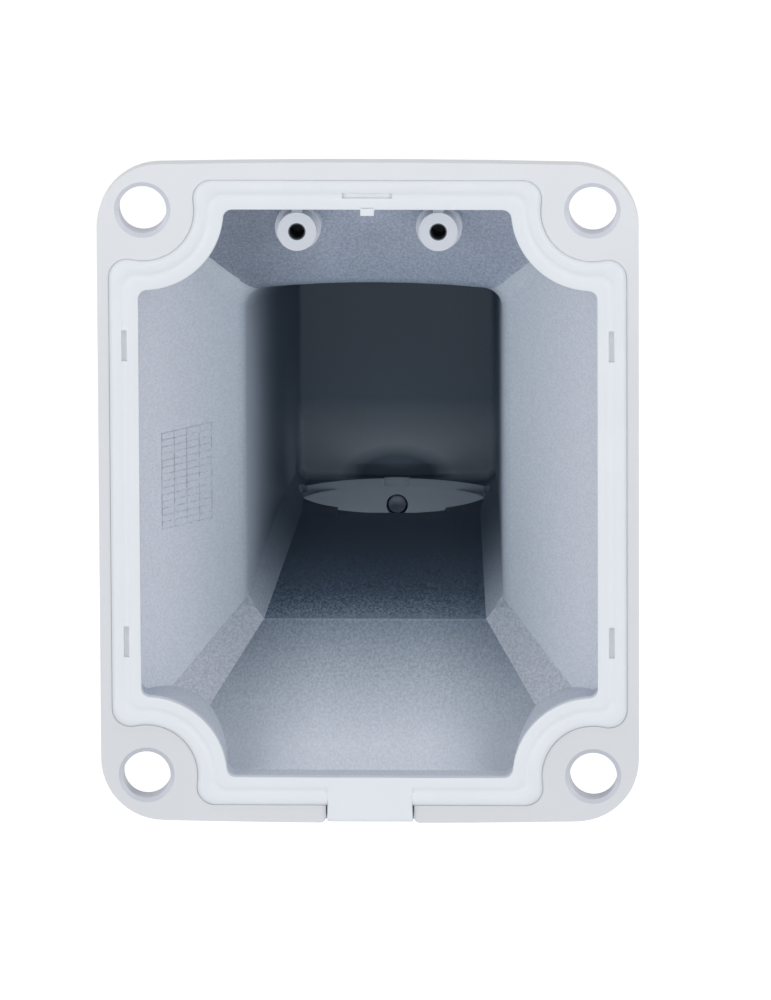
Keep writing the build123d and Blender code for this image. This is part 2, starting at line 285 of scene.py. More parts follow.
paintedLightAndShade = {                                      # painted shade and painted light laid over the coat
    # painted shade on the walls low in the funnel
    "funnelFootShade": (0.88, 0.885, 0.895, 1),
    # painted shade on faces that look down, darker towards the left corner
    "ceiling": (0.70, 0.74, 0.81, 1),
    "ceilingCornerShade": (0.45, 0.48, 0.535, 1),
    # painted shade towards the sides of the floor
    "floorCornerShade": (0.72, 0.74, 0.77, 1),
    # painted shade on the slanted strips between floor and walls, less of it in the neck
    "bevel": (0.735, 0.74, 0.755, 1),
    "neckBevelShade": (0.92, 0.93, 0.94, 1),
    # painted shade on the upward faces of the bites round the bolts
    "biteFootShade": (0.76, 0.79, 0.82, 1),
    # painted light: the locating ribs' tops lightened against the shade in the gasket's slots
    "ribTop": (1.09, 1.09, 1.085, 1),
    # painted shade in the bolt holes' bores
    "boltHole": (0.80, 0.81, 0.865, 1),
    "low": 0.955,                             # of the outside at middle height and below: painted shade, and painted light at the top
    "top": 1.05,
}
speck = {                                     # how far specks lighten and darken the coat
    "wall": 0.07,
    "ceiling": 0.12,                          # this and the rest are added to the wall's
    "slope": 0.12,
    "neckFloor": 0.32,
    "bevel": 0.08,
    "scale": 2100.0,                          # specks per metre
    "along": 0.3,
    "detail": 4.0,
    "noise": (0.36, 0.64),                    # part of the noise that is used
    "rise": 0.5,
}
span = {                                      # where tones start and end, in millimetres
    "mouthToNeck": (12.0, 35.0),              # depths
    "neckToHead": (35.0, 120.0),
    "slope": (12.0, 34.5),
    "slopeEdge": (34.5, 35.5),
    "neckFloor": (36.0, 60.0),
    "funnelFootShade": (19.0, 33.0),
    "funnelFootShadeEnd": (37.0, 34.5),
    "bevelEdge": (34.5, 36.5),
    "headWall": (170.0, 174.0),
    "speckedSlope": (12.0, 33.0),
    "speckedFloor": (34.0, 42.0),
    "speckEnd": (66.0, 105.0),
    "floorCornerShade": (12.0, 28.0),              # across
    "ceilingCornerShade": (-10.0, -26.0),
    "biteFootShade": (36.0, 50.0),
    "pocketShade": (13.0, 8.0),
    "funnelFootShadeHeight": (12.0, -18.0),        # heights
    "headWallFootLight": (-13.0, -27.0),
    "paintedLightHeight": (20.0, 74.0),
}
turned = {                                    # limits for the parts of a face's normal
    "level": 0.35,
    "slanted": 0.3,
    "endwise": 0.5,
    "square": 0.95,
}
cavity = {                   # where the hollow's walls lie, a little outside their faces
    "mouthDepth": 7.0,
    "passageDepth": 35.0,
    "endDepth": 176.0,
    "halfWidth": (51.9, 29.7, 24.0),
    "top": (65.0, 41.9, 21.4),
    "floor": (65.0, 36.6, 32.7),
    "boltX": 49.0,
    "boltZ": 63.0,
    "pocketWall": 15.8,
    "boltHole": 6.3,
    "boltHoleStart": 0.02,
    "ribTop": 0.05,
    "ribPlay": 0.02,
    "plateDepth": 0.6,
    "endPlay": 1.5,
    "bossX": 15.4,
    "bossZ": 58.0,
    "bossHole": 1.9,
    "bossFoot": 12.0,
    "bossDepth": 8.0,
    "holeStart": 1.15,
    "pocketZ": -31.4,        # middle of the pocket over the outlet, where painted shade is laid
    "pocketFlat": 1.7,
    "socketY": 152.0,
    "socketZ": -31.45,
    "socketReach": 23.9,
}


def cavityReach(tree, depth, values):
    # distance from the middle to a wall of the hollow, at a depth
    mouth, neck, end = values
    funnel = slope(tree, depth, cavity["mouthDepth"], mouth, cavity["passageDepth"], neck)
    passage = slope(tree, depth, cavity["passageDepth"], neck, cavity["endDepth"], end)
    return calc(tree, "MINIMUM", calc(tree, "MAXIMUM", funnel, passage), mouth)


def fromPoint(tree, across, up, x, z):
    # distance from a point, in the plane of two of the arm's measures
    sideStep = calc(tree, "SUBTRACT", across, x)
    upStep = calc(tree, "SUBTRACT", up, z)
    return calc(tree, "SQRT", calc(tree, "ADD", calc(tree, "MULTIPLY", sideStep, sideStep),
                                   calc(tree, "MULTIPLY", upStep, upStep)))


def fromBolt(tree, across, height):
    # distance from the axis of the nearest wall bolt
    level = calc(tree, "ABSOLUTE", height)
    return fromPoint(tree, across, level, cavity["boltX"], cavity["boltZ"])


def armPlace(tree):
    # place across the arm, distance from the middle plane, depth and height in millimetres
    place = tree.nodes.new("ShaderNodeTexCoord")
    split = tree.nodes.new("ShaderNodeSeparateXYZ")
    link(tree, place.outputs["Object"], split.inputs[0])
    side = calc(tree, "MULTIPLY", split.outputs["X"], 1000.0)
    across = calc(tree, "ABSOLUTE", side)
    depth = calc(tree, "MULTIPLY", split.outputs["Y"], 1000.0)
    height = calc(tree, "MULTIPLY", split.outputs["Z"], 1000.0)
    return side, across, depth, height


def turnedInward(tree, depth):
    # 1 where a face looks at the middle of the hollow or at the wall
    place = tree.nodes.new("ShaderNodeTexCoord")
    spot = tree.nodes.new("ShaderNodeSeparateXYZ")
    link(tree, place.outputs["Object"], spot.inputs[0])
    facing = tree.nodes.new("ShaderNodeSeparateXYZ")
    link(tree, place.outputs["Normal"], facing.inputs[0])
    away = calc(tree, "ADD", calc(tree, "MULTIPLY", spot.outputs["X"], facing.outputs["X"]),
                calc(tree, "MULTIPLY", spot.outputs["Z"], facing.outputs["Z"]))
    inward = calc(tree, "MAXIMUM", calc(tree, "LESS_THAN", away, 0.0),
                  calc(tree, "LESS_THAN", facing.outputs["Y"], -turned["endwise"]))
    return calc(tree, "MAXIMUM", inward, calc(tree, "LESS_THAN", depth, cavity["bossFoot"]))


def insideOfArm(tree, across, depth, height):
    # 1 on the walls of the hollow, 0 outside it
    tests = [
        calc(tree, "LESS_THAN", across, cavityReach(tree, depth, cavity["halfWidth"])),
        calc(tree, "LESS_THAN", height, cavityReach(tree, depth, cavity["top"])),
        calc(tree, "LESS_THAN", calc(tree, "MULTIPLY", height, -1.0),
             cavityReach(tree, depth, cavity["floor"])),
        calc(tree, "GREATER_THAN", depth, cavity["plateDepth"]),
        calc(tree, "LESS_THAN", depth, cavity["endDepth"] + cavity["endPlay"]),
        calc(tree, "GREATER_THAN", fromBolt(tree, across, height), cavity["pocketWall"]),
        turnedInward(tree, depth),
    ]
    inside = tests[0]
    for test in tests[1:]:
        inside = calc(tree, "MULTIPLY", inside, test)
    return inside


def wallFacing(tree, depth):
    # 1 where a face of the hollow is of the named kind
    place = tree.nodes.new("ShaderNodeTexCoord")
    split = tree.nodes.new("ShaderNodeSeparateXYZ")
    link(tree, place.outputs["Normal"], split.inputs[0])
    sideways = calc(tree, "ABSOLUTE", split.outputs["X"])
    level = calc(tree, "LESS_THAN", sideways, turned["level"])
    upward = calc(tree, "GREATER_THAN", split.outputs["Z"], turned["slanted"])
    downward = calc(tree, "LESS_THAN", split.outputs["Z"], -turned["slanted"])
    sloping = calc(tree, "LESS_THAN", split.outputs["Y"], -turned["slanted"])
    deep = calc(tree, "GREATER_THAN", depth, cavity["passageDepth"] - 1)
    ground = calc(tree, "MULTIPLY", upward, calc(tree, "MAXIMUM", sloping, deep))
    floor = calc(tree, "MULTIPLY", level, ground)
    return {
        "floor": floor,
        "ceiling": calc(tree, "MULTIPLY", level, downward),
        "bevel": calc(tree, "SUBTRACT", ground, floor),
        "bite": calc(tree, "SUBTRACT", upward, ground),
        "toWall": calc(tree, "LESS_THAN", split.outputs["Y"], -turned["square"]),
    }


def layPaintedTone(tree, amount, colour, tone):
    return blend(tree, amount, colour, blend(tree, 1.0, colour, tone, "MULTIPLY"))


def wallCoatWithPaintedLightAndShade(tree, side, across, depth, height, facing):
    # the coat on the walls of the hollow, with painted shade and painted light laid into its colour
    def over(value, name):
        return stretch(tree, value, *span[name])

    # walls darker with depth: partly a thinner coat, partly painted shade
    wall = blend(tree, over(depth, "mouthToNeck"), coat["mouth"], coat["neck"])
    wall = blend(tree, over(depth, "neckToHead"), wall, coat["head"])
    # painted shade on the walls low in the funnel
    footShade = calc(tree, "MULTIPLY", over(depth, "funnelFootShade"), over(depth, "funnelFootShadeEnd"))
    footShade = calc(tree, "MULTIPLY", footShade, over(height, "funnelFootShadeHeight"))
    wall = layPaintedTone(tree, footShade, wall, paintedLightAndShade["funnelFootShade"])
    # painted shade: the floor darker with depth
    ground = blend(tree, over(depth, "slope"), coat["mouthFloorShade"], coat["slopeFootShade"])
    deepGround = blend(tree, over(depth, "neckFloor"), coat["neckFloor"], coat["headFloorShade"])
    ground = blend(tree, over(depth, "slopeEdge"), ground, deepGround)
    # painted shade towards the sides of the floor
    ground = layPaintedTone(tree, over(across, "floorCornerShade"), ground, paintedLightAndShade["floorCornerShade"])
    wall = blend(tree, facing["floor"], wall, ground)
    # painted shade on the slanted strips between floor and walls
    bevelShade = blend(tree, over(depth, "bevelEdge"), paintedLightAndShade["bevel"], paintedLightAndShade["neckBevelShade"])
    wall = layPaintedTone(tree, facing["bevel"], wall, bevelShade)
    # painted shade on the upward faces of the bites round the bolts
    biteFootShade = calc(tree, "MULTIPLY", facing["bite"], over(across, "biteFootShade"))
    wall = layPaintedTone(tree, biteFootShade, wall, paintedLightAndShade["biteFootShade"])
    # painted shade on the ceiling, darker towards its left corner
    roofShade = blend(tree, over(side, "ceilingCornerShade"), paintedLightAndShade["ceiling"], paintedLightAndShade["ceilingCornerShade"])
    wall = layPaintedTone(tree, facing["ceiling"], wall, roofShade)
    # painted light on the end wall's foot, over the outlet
    headEnd = over(depth, "headWall")
    wallFootLight = calc(tree, "MULTIPLY", headEnd, over(height, "headWallFootLight"))
    wall = blend(tree, wallFootLight, wall, coat["headWallFootLight"])
    # painted shade: a soft dark patch round the pocket over the outlet
    low = calc(tree, "SUBTRACT", height, cavity["pocketZ"])
    low = calc(tree, "MULTIPLY", low, cavity["pocketFlat"])
    fromPocket = fromPoint(tree, across, low, 0.0, 0.0)
    dark = calc(tree, "MULTIPLY", over(fromPocket, "pocketShade"), headEnd)
    return blend(tree, dark, wall, coat["headFloorShade"])


def speckReach(tree, depth, facing):
    # how strong the specks are on each kind of wall
    slopeReach = stretch(tree, depth, *span["speckedSlope"], 0.0, speck["slope"])
    neckReach = stretch(tree, depth, *span["speckedFloor"], 0.0, speck["neckFloor"])
    reach = calc(tree, "MULTIPLY", facing["floor"], calc(tree, "ADD", slopeReach, neckReach))
    for kind in ("ceiling", "bevel"):
        reach = calc(tree, "ADD", reach, calc(tree, "MULTIPLY", facing[kind], speck[kind]))
    reach = calc(tree, "ADD", reach, speck["wall"])
    return calc(tree, "MULTIPLY", reach, stretch(tree, depth, *span["speckEnd"], 1.0, 0.0))


def makeCoat():
    material, tree, shader = startMaterial("whitePowderCoatWithPaintedLightAndShade", coat["roughness"])
    side, across, depth, height = armPlace(tree)
    inside = insideOfArm(tree, across, depth, height)
    facing = wallFacing(tree, depth)
    wall = wallCoatWithPaintedLightAndShade(tree, side, across, depth, height, facing)
    specks = grain(tree, speck["scale"], speck["detail"], speck["along"])
    swing = stretch(tree, specks, *speck["noise"], -1.0, 1.0)
    swing = calc(tree, "MULTIPLY", swing, speckReach(tree, depth, facing))
    speckled = blend(tree, 1.0, wall, calc(tree, "ADD", swing, 1.0), "MULTIPLY")
    cloud = grain(tree, coat["patchScale"])
    patchesAndTopLight = stretch(tree, cloud, *coat["patchNoise"], *coat["patchTone"])
    # painted light and shade: the outside lighter towards the top, darker lower down
    paintedTopLight = stretch(tree, height, *span["paintedLightHeight"], paintedLightAndShade["low"], paintedLightAndShade["top"])
    patchesAndTopLight = calc(tree, "MULTIPLY", patchesAndTopLight, paintedTopLight)
    outside = blend(tree, 1.0, coat["outside"], patchesAndTopLight, "MULTIPLY")
    shallow = calc(tree, "LESS_THAN", depth, cavity["bossDepth"])
    bossFace = calc(tree, "MULTIPLY", facing["toWall"], shallow)
    hollow = blend(tree, bossFace, speckled, coat["bossFace"])
    tone = blend(tree, inside, outside, hollow)
    # painted shade: the socket's bore below the outlet's ledge in a darker tone
    fromSocket = fromPoint(tree, across, depth, 0.0, cavity["socketY"])
    socket = calc(tree, "MULTIPLY", calc(tree, "LESS_THAN", fromSocket, cavity["socketReach"]),
                  calc(tree, "LESS_THAN", height, cavity["socketZ"]))
    socket = calc(tree, "MULTIPLY", socket, calc(tree, "SUBTRACT", 1.0, facing["floor"]))
    tone = blend(tree, socket, tone, coat["socketWallShade"])
    # painted shade: near black in the bosses' tapped holes
    fromBoss = fromPoint(tree, across, height, cavity["bossX"], cavity["bossZ"])
    tappedHoleShade = calc(tree, "MULTIPLY", calc(tree, "LESS_THAN", fromBoss, cavity["bossHole"]),
                  calc(tree, "GREATER_THAN", depth, cavity["holeStart"]))
    tone = blend(tree, tappedHoleShade, tone, coat["hole"])
    # painted shade in the bolt holes' bores
    nearBolt = calc(tree, "LESS_THAN", fromBolt(tree, across, height), cavity["boltHole"])
    boreShade = calc(tree, "MULTIPLY", nearBolt,
                 calc(tree, "GREATER_THAN", depth, cavity["boltHoleStart"]))
    tone = layPaintedTone(tree, boreShade, tone, paintedLightAndShade["boltHole"])
    # painted light: the locating ribs' tops lightened against the shade in the gasket's slots
    offRib = calc(tree, "ABSOLUTE", calc(tree, "SUBTRACT", depth, cavity["ribTop"]))
    rib = calc(tree, "MULTIPLY", facing["toWall"],
               calc(tree, "LESS_THAN", offRib, cavity["ribPlay"]))
    link(tree, layPaintedTone(tree, rib, tone, paintedLightAndShade["ribTop"]), shader.inputs["Base Color"])
    peel = calc(tree, "MULTIPLY", grain(tree, coat["peelScale"]), coat["peelHeight"])
    coarse = calc(tree, "MULTIPLY", calc(tree, "MULTIPLY", specks, inside), speck["rise"])
    surface = relief(tree, calc(tree, "ADD", peel, coarse),
                     coat["reliefStrength"], coat["reliefDistance"])
    link(tree, surface, shader.inputs["Normal"])
    return material


def mottled(tree, finish):
    # two tones in a noise, and how pale each place is
    noise = grain(tree, finish["scale"], finish["detail"])
    amount = stretch(tree, noise, finish["from"], finish["to"])
    return blend(tree, amount, finish["dark"], finish["pale"]), amount


silicone = {
    "dark": (0.735, 0.765, 0.815, 1),
    "pale": (0.755, 0.785, 0.835, 1),
    "scale": 60.0, "detail": 2.0, "from": 0.3, "to": 0.7,
    "roughness": 0.48,
    "skinScale": 1800.0,
    "reliefStrength": 0.12,
    "reliefDistance": 0.00005,
}
# the lock screw's steel, darkened as painted shade of the hole it sits in
shadedSteel = {
    "dark": (0.075, 0.095, 0.125, 1),
    "pale": (0.115, 0.14, 0.175, 1),
    "scale": 900.0, "detail": 4.0, "from": 0.3, "to": 0.7,
    "roughness": (0.42, 0.58),
}
cutMetal = {
    "dark": (0.62, 0.63, 0.64, 1),
    "pale": (0.76, 0.77, 0.78, 1),
    "scale": 1500.0, "detail": 3.0, "from": 0.3, "to": 0.7,
    "roughness": 0.35,
}
# darker tone of the cast table's raised lines: painted shade along them
castLineShade = {
    "dark": (0.44, 0.47, 0.53, 1),
    "pale": (0.60, 0.64, 0.71, 1),
    "scale": 900.0, "detail": 2.0, "from": 0.4, "to": 0.6,
}


def makeRubber():
    material, tree, shader = startMaterial("whiteSilicone", silicone["roughness"])
    link(tree, mottled(tree, silicone)[0], shader.inputs["Base Color"])
    skin = relief(tree, grain(tree, silicone["skinScale"]),
                  silicone["reliefStrength"], silicone["reliefDistance"])
    link(tree, skin, shader.inputs["Normal"])
    return material


def makeSteel():
    material, tree, shader = startMaterial("steelWithPaintedShade", 0.5, 1.0)
    tone, wear = mottled(tree, shadedSteel)
    link(tree, tone, shader.inputs["Base Color"])
    roughness = stretch(tree, wear, 0.0, 1.0, *shadedSteel["roughness"])
    link(tree, roughness, shader.inputs["Roughness"])
    return material


def makeBareMetal():
    material, tree, shader = startMaterial("cutAluminium", cutMetal["roughness"], 1.0)
    link(tree, mottled(tree, cutMetal)[0], shader.inputs["Base Color"])
    return material


def makeLineShadeCoat():
    material, tree, shader = startMaterial("castLineShadeCoat", coat["roughness"])
    link(tree, mottled(tree, castLineShade)[0], shader.inputs["Base Color"])
    return material


powderCoatWithPaintedLightAndShade = makeCoat()
lineShadeCoat = makeLineShadeCoat()
rubber = makeRubber()
steel = makeSteel()
bareMetal = makeBareMetal()
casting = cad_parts["arm_casting"]
for slot in casting.material_slots:
    slot.material = powderCoatWithPaintedLightAndShade

print("stage: gasket")

seal = {
    "halfWidth": 56.3,
    "halfHeight": 69.5,
    "width": 6.3,
    "relief": 11.4,          # round bite at each bolt
    "outerCorner": 4.0,
    "innerCorner": 2.0,
    "seat": 1.5,             # depth of its bottom face
    "slotFrom": 29.58,
    "slotTo": 36.42,
    "topSlot": 5.42,
    "topStop": 9.0,          # where the straight top begins
    "cornerStops": 9,
    "biteStops": 25,
    "tongueHalf": 9.35,
    "tongueLength": 3.7,
    "tongueDepth": 3.65,
    "tongueStep": 0.01,      # slant of the step down to its bottom
    "tongueSteps": 12,
    "bandRise": 0.8,         # of the inner band, the tongue and the tab
    "tabWidth": 3.0,
    "tabReach": 1.3,
    "tabRoot": 0.6,
    "tabRound": 0.12,
}
ringProfile = [              # inset from the outer edge, and height over the wall plane
    (-0.17, -0.1), (0.06, 0.42), (0.28, 0.7), (0.65, 0.92), (1.25, 1.0), (2.05, 0.93), (2.57, 0.72),
    (2.8, 0.57), (3.0, 0.5), (3.3, 0.5), (3.5, 0.56), (3.73, 0.66), (3.95, 0.75), (4.3, 0.8),
    (5.9, 0.8), (6.2, 0.7), (6.3, 0.42),
]
tongueEdge = [(0.0, 0.45), (0.08, 0.68), (0.3, 0.8)]         # the same at the tongue's outer end
bandEdge = [(0.4, 0.8), (0.1, 0.7), (0.0, 0.42)]             # and at the inner edge behind it
slotColumns = (6, 11)        # points of ringProfile between which a slot is open


def arcPoints(centre, radius, startAngle, endAngle, count):
    steps = [startAngle + (endAngle - startAngle) * i / (count - 1) for i in range(count)]
    return [(centre[0] + radius * math.cos(a), centre[1] + radius * math.sin(a)) for a in steps]


def quarterOutline(inset, sideStops, endStops):
    # from the middle of the right side to the middle of the top, at an inset from the outer edge
    width = seal["halfWidth"] - inset
    height = seal["halfHeight"] - inset
    bite = seal["relief"] + inset
    narrowing = (seal["innerCorner"] - seal["outerCorner"]) / seal["width"]
    corner = seal["outerCorner"] + narrowing * inset
    boltX, boltZ = cavity["boltX"], cavity["boltZ"]
    reach = bite + corner
    sideX = width - corner
    sideZ = boltZ - math.sqrt(reach ** 2 - (sideX - boltX) ** 2)
    topZ = height - corner
    topX = boltX - math.sqrt(reach ** 2 - (topZ - boltZ) ** 2)
    sideAngle = math.atan2(boltZ - sideZ, boltX - sideX)
    topAngle = math.atan2(boltZ - topZ, boltX - topX)
    points = [(width, z) for z in sideStops]
    cornerStops, biteStops = seal["cornerStops"], seal["biteStops"]
    points += arcPoints((sideX, sideZ), corner, 0.0, sideAngle, cornerStops)
    biteStart, biteEnd = sideAngle - math.pi, topAngle - math.pi
    points += arcPoints((boltX, boltZ), bite, biteStart, biteEnd, biteStops)[1:-1]
    points += arcPoints((topX, topZ), corner, topAngle, math.pi / 2, cornerStops)
    points += [(x, height) for x in endStops]
    return points


def ringOutline(inset):
    # all the way round, anticlockwise, with a double stop at each side of the tongue
    sideStops = (0.0, seal["slotFrom"], seal["slotTo"])
    upper = quarterOutline(inset, sideStops, (seal["topStop"], seal["topSlot"], 0.0))
    lower = quarterOutline(inset, sideStops, (seal["tongueHalf"], seal["tongueHalf"], 0.0))
    points = upper + [(-x, z) for x, z in reversed(upper[:-1])]
    points += [(-x, -z) for x, z in lower[1:]] + [(x, -z) for x, z in reversed(lower[1:-1])]
    return points


def sealSections():
    # the closed section at every stop round the ring
    insets = [inset for inset, rise in ringProfile]
    rings = {inset: ringOutline(inset) for inset in insets}
    outer = ringOutline(0.0)
    count = len(outer)
    low = -seal["halfHeight"]
    tongueSides = [i for i in range(count)
                   if outer[i][1] == low and abs(outer[i][0]) == seal["tongueHalf"]]
    first = tongueSides[0]
    tongueStops = range(first + 1, first + 4)
    sections = []
    for i in range(count):
        tops = [(rings[inset][i], -rise) for inset, rise in ringProfile]
        if i in tongueStops:
            x = outer[i][0]
            outEdge = low - seal["tongueLength"]
            inEdge = low + seal["width"]
            tops = [((x, outEdge + inset), -rise) for inset, rise in tongueEdge]
            flatStart = outEdge + tongueEdge[-1][0]
            flatLength = inEdge - bandEdge[0][0] - flatStart
            steps = seal["tongueSteps"]
            tops += [((x, flatStart + flatLength * j / steps), -seal["bandRise"])
                     for j in range(1, steps)]
            tops += [((x, inEdge - inset), -rise) for inset, rise in bandEdge]
            bottoms = [((x, inEdge), seal["seat"]), ((x, low + seal["tongueStep"]), seal["seat"]),
                       ((x, low), seal["tongueDepth"]), ((x, outEdge), seal["tongueDepth"])]
        else:
            columns = (-1, slotColumns[1], slotColumns[0], 0)
            bottoms = [(rings[insets[k]][i], seal["seat"]) for k in columns]
        sections.append([Vector((x, y, z)) * mm for (x, z), y in tops + bottoms])
    return sections, outer


def isSlot(a, b):
    # true where the ring between two stops drops over a locating rib
    if a[0] == b[0] and abs(a[0]) == seal["halfWidth"]:
        return {abs(a[1]), abs(b[1])} == {seal["slotFrom"], seal["slotTo"]}
    return a[1] == b[1] == seal["halfHeight"] and max(abs(a[0]), abs(b[0])) <= seal["topSlot"]


def addBox(bm, low, high, bevel):
    made = bmesh.ops.create_cube(bm, size=1.0)
    for vertex in made["verts"]:
        vertex.co = Vector([low[k] if vertex.co[k] < 0 else high[k] for k in range(3)]) * mm
    edges = list({edge for vertex in made["verts"] for edge in vertex.link_edges})
    bmesh.ops.bevel(bm, geom=edges, offset=bevel * mm, segments=2, affect="EDGES", profile=0.5)


def finishMesh(bm, name, material, body, smoothAngle=0.6):
    bmesh.ops.recalc_face_normals(bm, faces=bm.faces)
    mesh = bpy.data.meshes.new(name)
    bm.to_mesh(mesh)
    bm.free()
    mesh.shade_smooth()
    mesh.set_sharp_from_angle(angle=smoothAngle)
    mesh.materials.append(material)
    piece = bpy.data.objects.new(name, mesh)
    scene.collection.objects.link(piece)
    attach(piece, body)
    return piece


def makeSeal():
    bm = bmesh.new()
    sections, outer = sealSections()
    rows = [[bm.verts.new(point) for point in section] for section in sections]
    size = len(rows[0])
    tops = len(ringProfile)
    start, end = slotColumns
    slotBottoms = (tops + 1, tops + 2)
    count = len(rows)
    slots = [isSlot(outer[i], outer[(i + 1) % count]) for i in range(count)]
    for i in range(count):
        here, there = rows[i], rows[(i + 1) % count]
        for k in range(size):
            after = (k + 1) % size
            if slots[i] and (start <= k < end or k == slotBottoms[0]):
                continue
            bm.faces.new((here[k], there[k], there[after], here[after]))
        if slots[i]:
            bm.faces.new((here[start], there[start], there[slotBottoms[1]], here[slotBottoms[1]]))
            bm.faces.new((here[end], there[end], there[slotBottoms[0]], here[slotBottoms[0]]))
        if slots[i] != slots[i - 1]:
            bm.faces.new([here[k] for k in range(start, end + 1)] + [here[k] for k in slotBottoms])
    inner = seal["halfHeight"] - seal["width"]
    half = seal["tabWidth"] / 2
    tabLow = (-half, -seal["bandRise"], inner - seal["tabReach"])
    tabHigh = (half, seal["seat"], inner + seal["tabRoot"])
    addBox(bm, tabLow, tabHigh, seal["tabRound"])
    piece = finishMesh(bm, "gasketSeal", rubber, "arm")
    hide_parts("wall_gasket")


makeSeal()

print("stage: lock screw")

lockScrew = {
    "radius": 2.45,
    "threadDepth": 0.38,
    "pitch": 0.8,
    "across": 2.5,           # hexagon socket
    "socketDepth": 2.2,
    "cupRadius": 1.3,
    "cupDepth": 0.7,
    "chamfer": 0.45,
    "segments": 36,
    "steps": 60,             # along the thread
    "socketTip": 0.5,        # cone at the hexagon's bottom
    "smoothAngle": 0.5,      # faces that meet at more than this have a sharp edge
}


def makeLockScrew():
    low, high = (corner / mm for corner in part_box("locking_screw"))
    centreZ = (low.z + high.z) / 2
    start, end = low.y, high.y
    count = lockScrew["segments"]
    angles = [2 * math.pi * i / count for i in range(count)]
    bm = bmesh.new()

    def ring(radii, depth):
        return [
            bm.verts.new(Vector((r * math.cos(a), depth, centreZ + r * math.sin(a))) * mm)
            for r, a in zip(radii, angles)
        ]

    def hexRadius(a):
        sixth = math.pi / 3
        return lockScrew["across"] / 2 / math.cos((a % sixth) - sixth / 2)

    rings = []
    tip = bm.verts.new(Vector((0, start + lockScrew["cupDepth"], centreZ)) * mm)
    rings.append(ring([lockScrew["cupRadius"]] * count, start))
    steps = lockScrew["steps"]
    for step in range(steps + 1):
        depth = start + (end - start) * step / steps
        radii = []
        for a in angles:
            phase = ((depth - start) / lockScrew["pitch"] - a / (2 * math.pi)) % 1.0
            groove = lockScrew["threadDepth"] * (1 - abs(2 * phase - 1))
            taper = min(depth - start, end - depth, lockScrew["chamfer"])
            endRadius = lockScrew["radius"] - lockScrew["chamfer"] + taper
            radii.append(min(lockScrew["radius"] - groove, endRadius))
        rings.append(ring(radii, depth))
    hexRing = [hexRadius(a) for a in angles]
    rings.append(ring(hexRing, end))
    socketEnd = end - lockScrew["socketDepth"]
    rings.append(ring(hexRing, socketEnd))
    bottom = bm.verts.new(Vector((0, socketEnd - lockScrew["socketTip"], centreZ)) * mm)
    for lower, upper in zip(rings, rings[1:]):
        for i in range(count):
            after = (i + 1) % count
            bm.faces.new((lower[i], lower[after], upper[after], upper[i]))
    for i in range(count):
        after = (i + 1) % count
        bm.faces.new((tip, rings[0][after], rings[0][i]))
        bm.faces.new((bottom, rings[-1][i], rings[-1][after]))
    piece = finishMesh(bm, "lockScrewThreaded", steel, "lock_screw",
                       lockScrew["smoothAngle"])
    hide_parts("locking_screw")


makeLockScrew()

print("stage: pipe thread")


def nodeInput(tree, name, kind, value):
    socket = tree.interface.new_socket(name=name, in_out="INPUT", socket_type=kind)
    socket.default_value = value


def plainMesh(tree, values, name):
    # runs a node tree on an empty mesh and returns the result as a plain mesh
    carrier = bpy.data.objects.new(name, bpy.data.meshes.new(name))
    scene.collection.objects.link(carrier)
    modifier = carrier.modifiers.new("nodes", "NODES")
    modifier.node_group = tree
    for item in tree.interface.items_tree:
        if item.in_out == "INPUT" and item.name in values:
            modifier[item.identifier] = values[item.name]
    graph = bpy.context.evaluated_depsgraph_get()
    mesh = bpy.data.meshes.new_from_object(carrier.evaluated_get(graph))
    carrier.modifiers.remove(modifier)
    bpy.data.objects.remove(carrier)
    return mesh


pipeThread = {
    "Radius": 22.55 * mm,
    "Pitch": 2.209 * mm,
    "Turns": 5.1,
    "Ridge": 0.95 * mm,
}
threadSegments = 72          # in one turn
ridgeSides = 4               # of a ridge's section
threadPlace = {"y": cavity["socketY"], "z": -53.35}


def threadTree():
    tree = bpy.data.node_groups.new("pipeThread", "GeometryNodeTree")
    for name, value in pipeThread.items():
        nodeInput(tree, name, "NodeSocketFloat", value)
    tree.interface.new_socket(name="Geometry", in_out="OUTPUT", socket_type="NodeSocketGeometry")
    given = tree.nodes.new("NodeGroupInput")
    helix = tree.nodes.new("GeometryNodeCurveSpiral")
    helix.inputs["Resolution"].default_value = threadSegments
    height = tree.nodes.new("ShaderNodeMath")
    height.operation = "MULTIPLY"
    link(tree, given.outputs["Pitch"], height.inputs[0])
    link(tree, given.outputs["Turns"], height.inputs[1])
    link(tree, given.outputs["Turns"], helix.inputs["Rotations"])
    link(tree, given.outputs["Radius"], helix.inputs["Start Radius"])
    link(tree, given.outputs["Radius"], helix.inputs["End Radius"])
    link(tree, height.outputs[0], helix.inputs["Height"])
    upright = tree.nodes.new("GeometryNodeSetCurveNormal")
    upright.mode = "Z_UP"
    link(tree, helix.outputs[0], upright.inputs["Curve"])
    profile = tree.nodes.new("GeometryNodeCurvePrimitiveCircle")
    profile.inputs["Resolution"].default_value = ridgeSides
    link(tree, given.outputs["Ridge"], profile.inputs["Radius"])
    sweep = tree.nodes.new("GeometryNodeCurveToMesh")
    sweep.inputs["Fill Caps"].default_value = True
    link(tree, upright.outputs[0], sweep.inputs["Curve"])
    link(tree, profile.outputs[0], sweep.inputs["Profile Curve"])
    finish = tree.nodes.new("GeometryNodeSetMaterial")
    finish.inputs["Material"].default_value = bareMetal
    whole = tree.nodes.new("GeometryNodeRealizeInstances")
    result = tree.nodes.new("NodeGroupOutput")
    link(tree, sweep.outputs[0], whole.inputs[0])
    link(tree, whole.outputs[0], finish.inputs["Geometry"])
    link(tree, finish.outputs[0], result.inputs[0])
    return tree


def placePiece(mesh, matrix, name, body):
    mesh.transform(matrix)
    piece = bpy.data.objects.new(name, mesh)
    scene.collection.objects.link(piece)
    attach(piece, body)


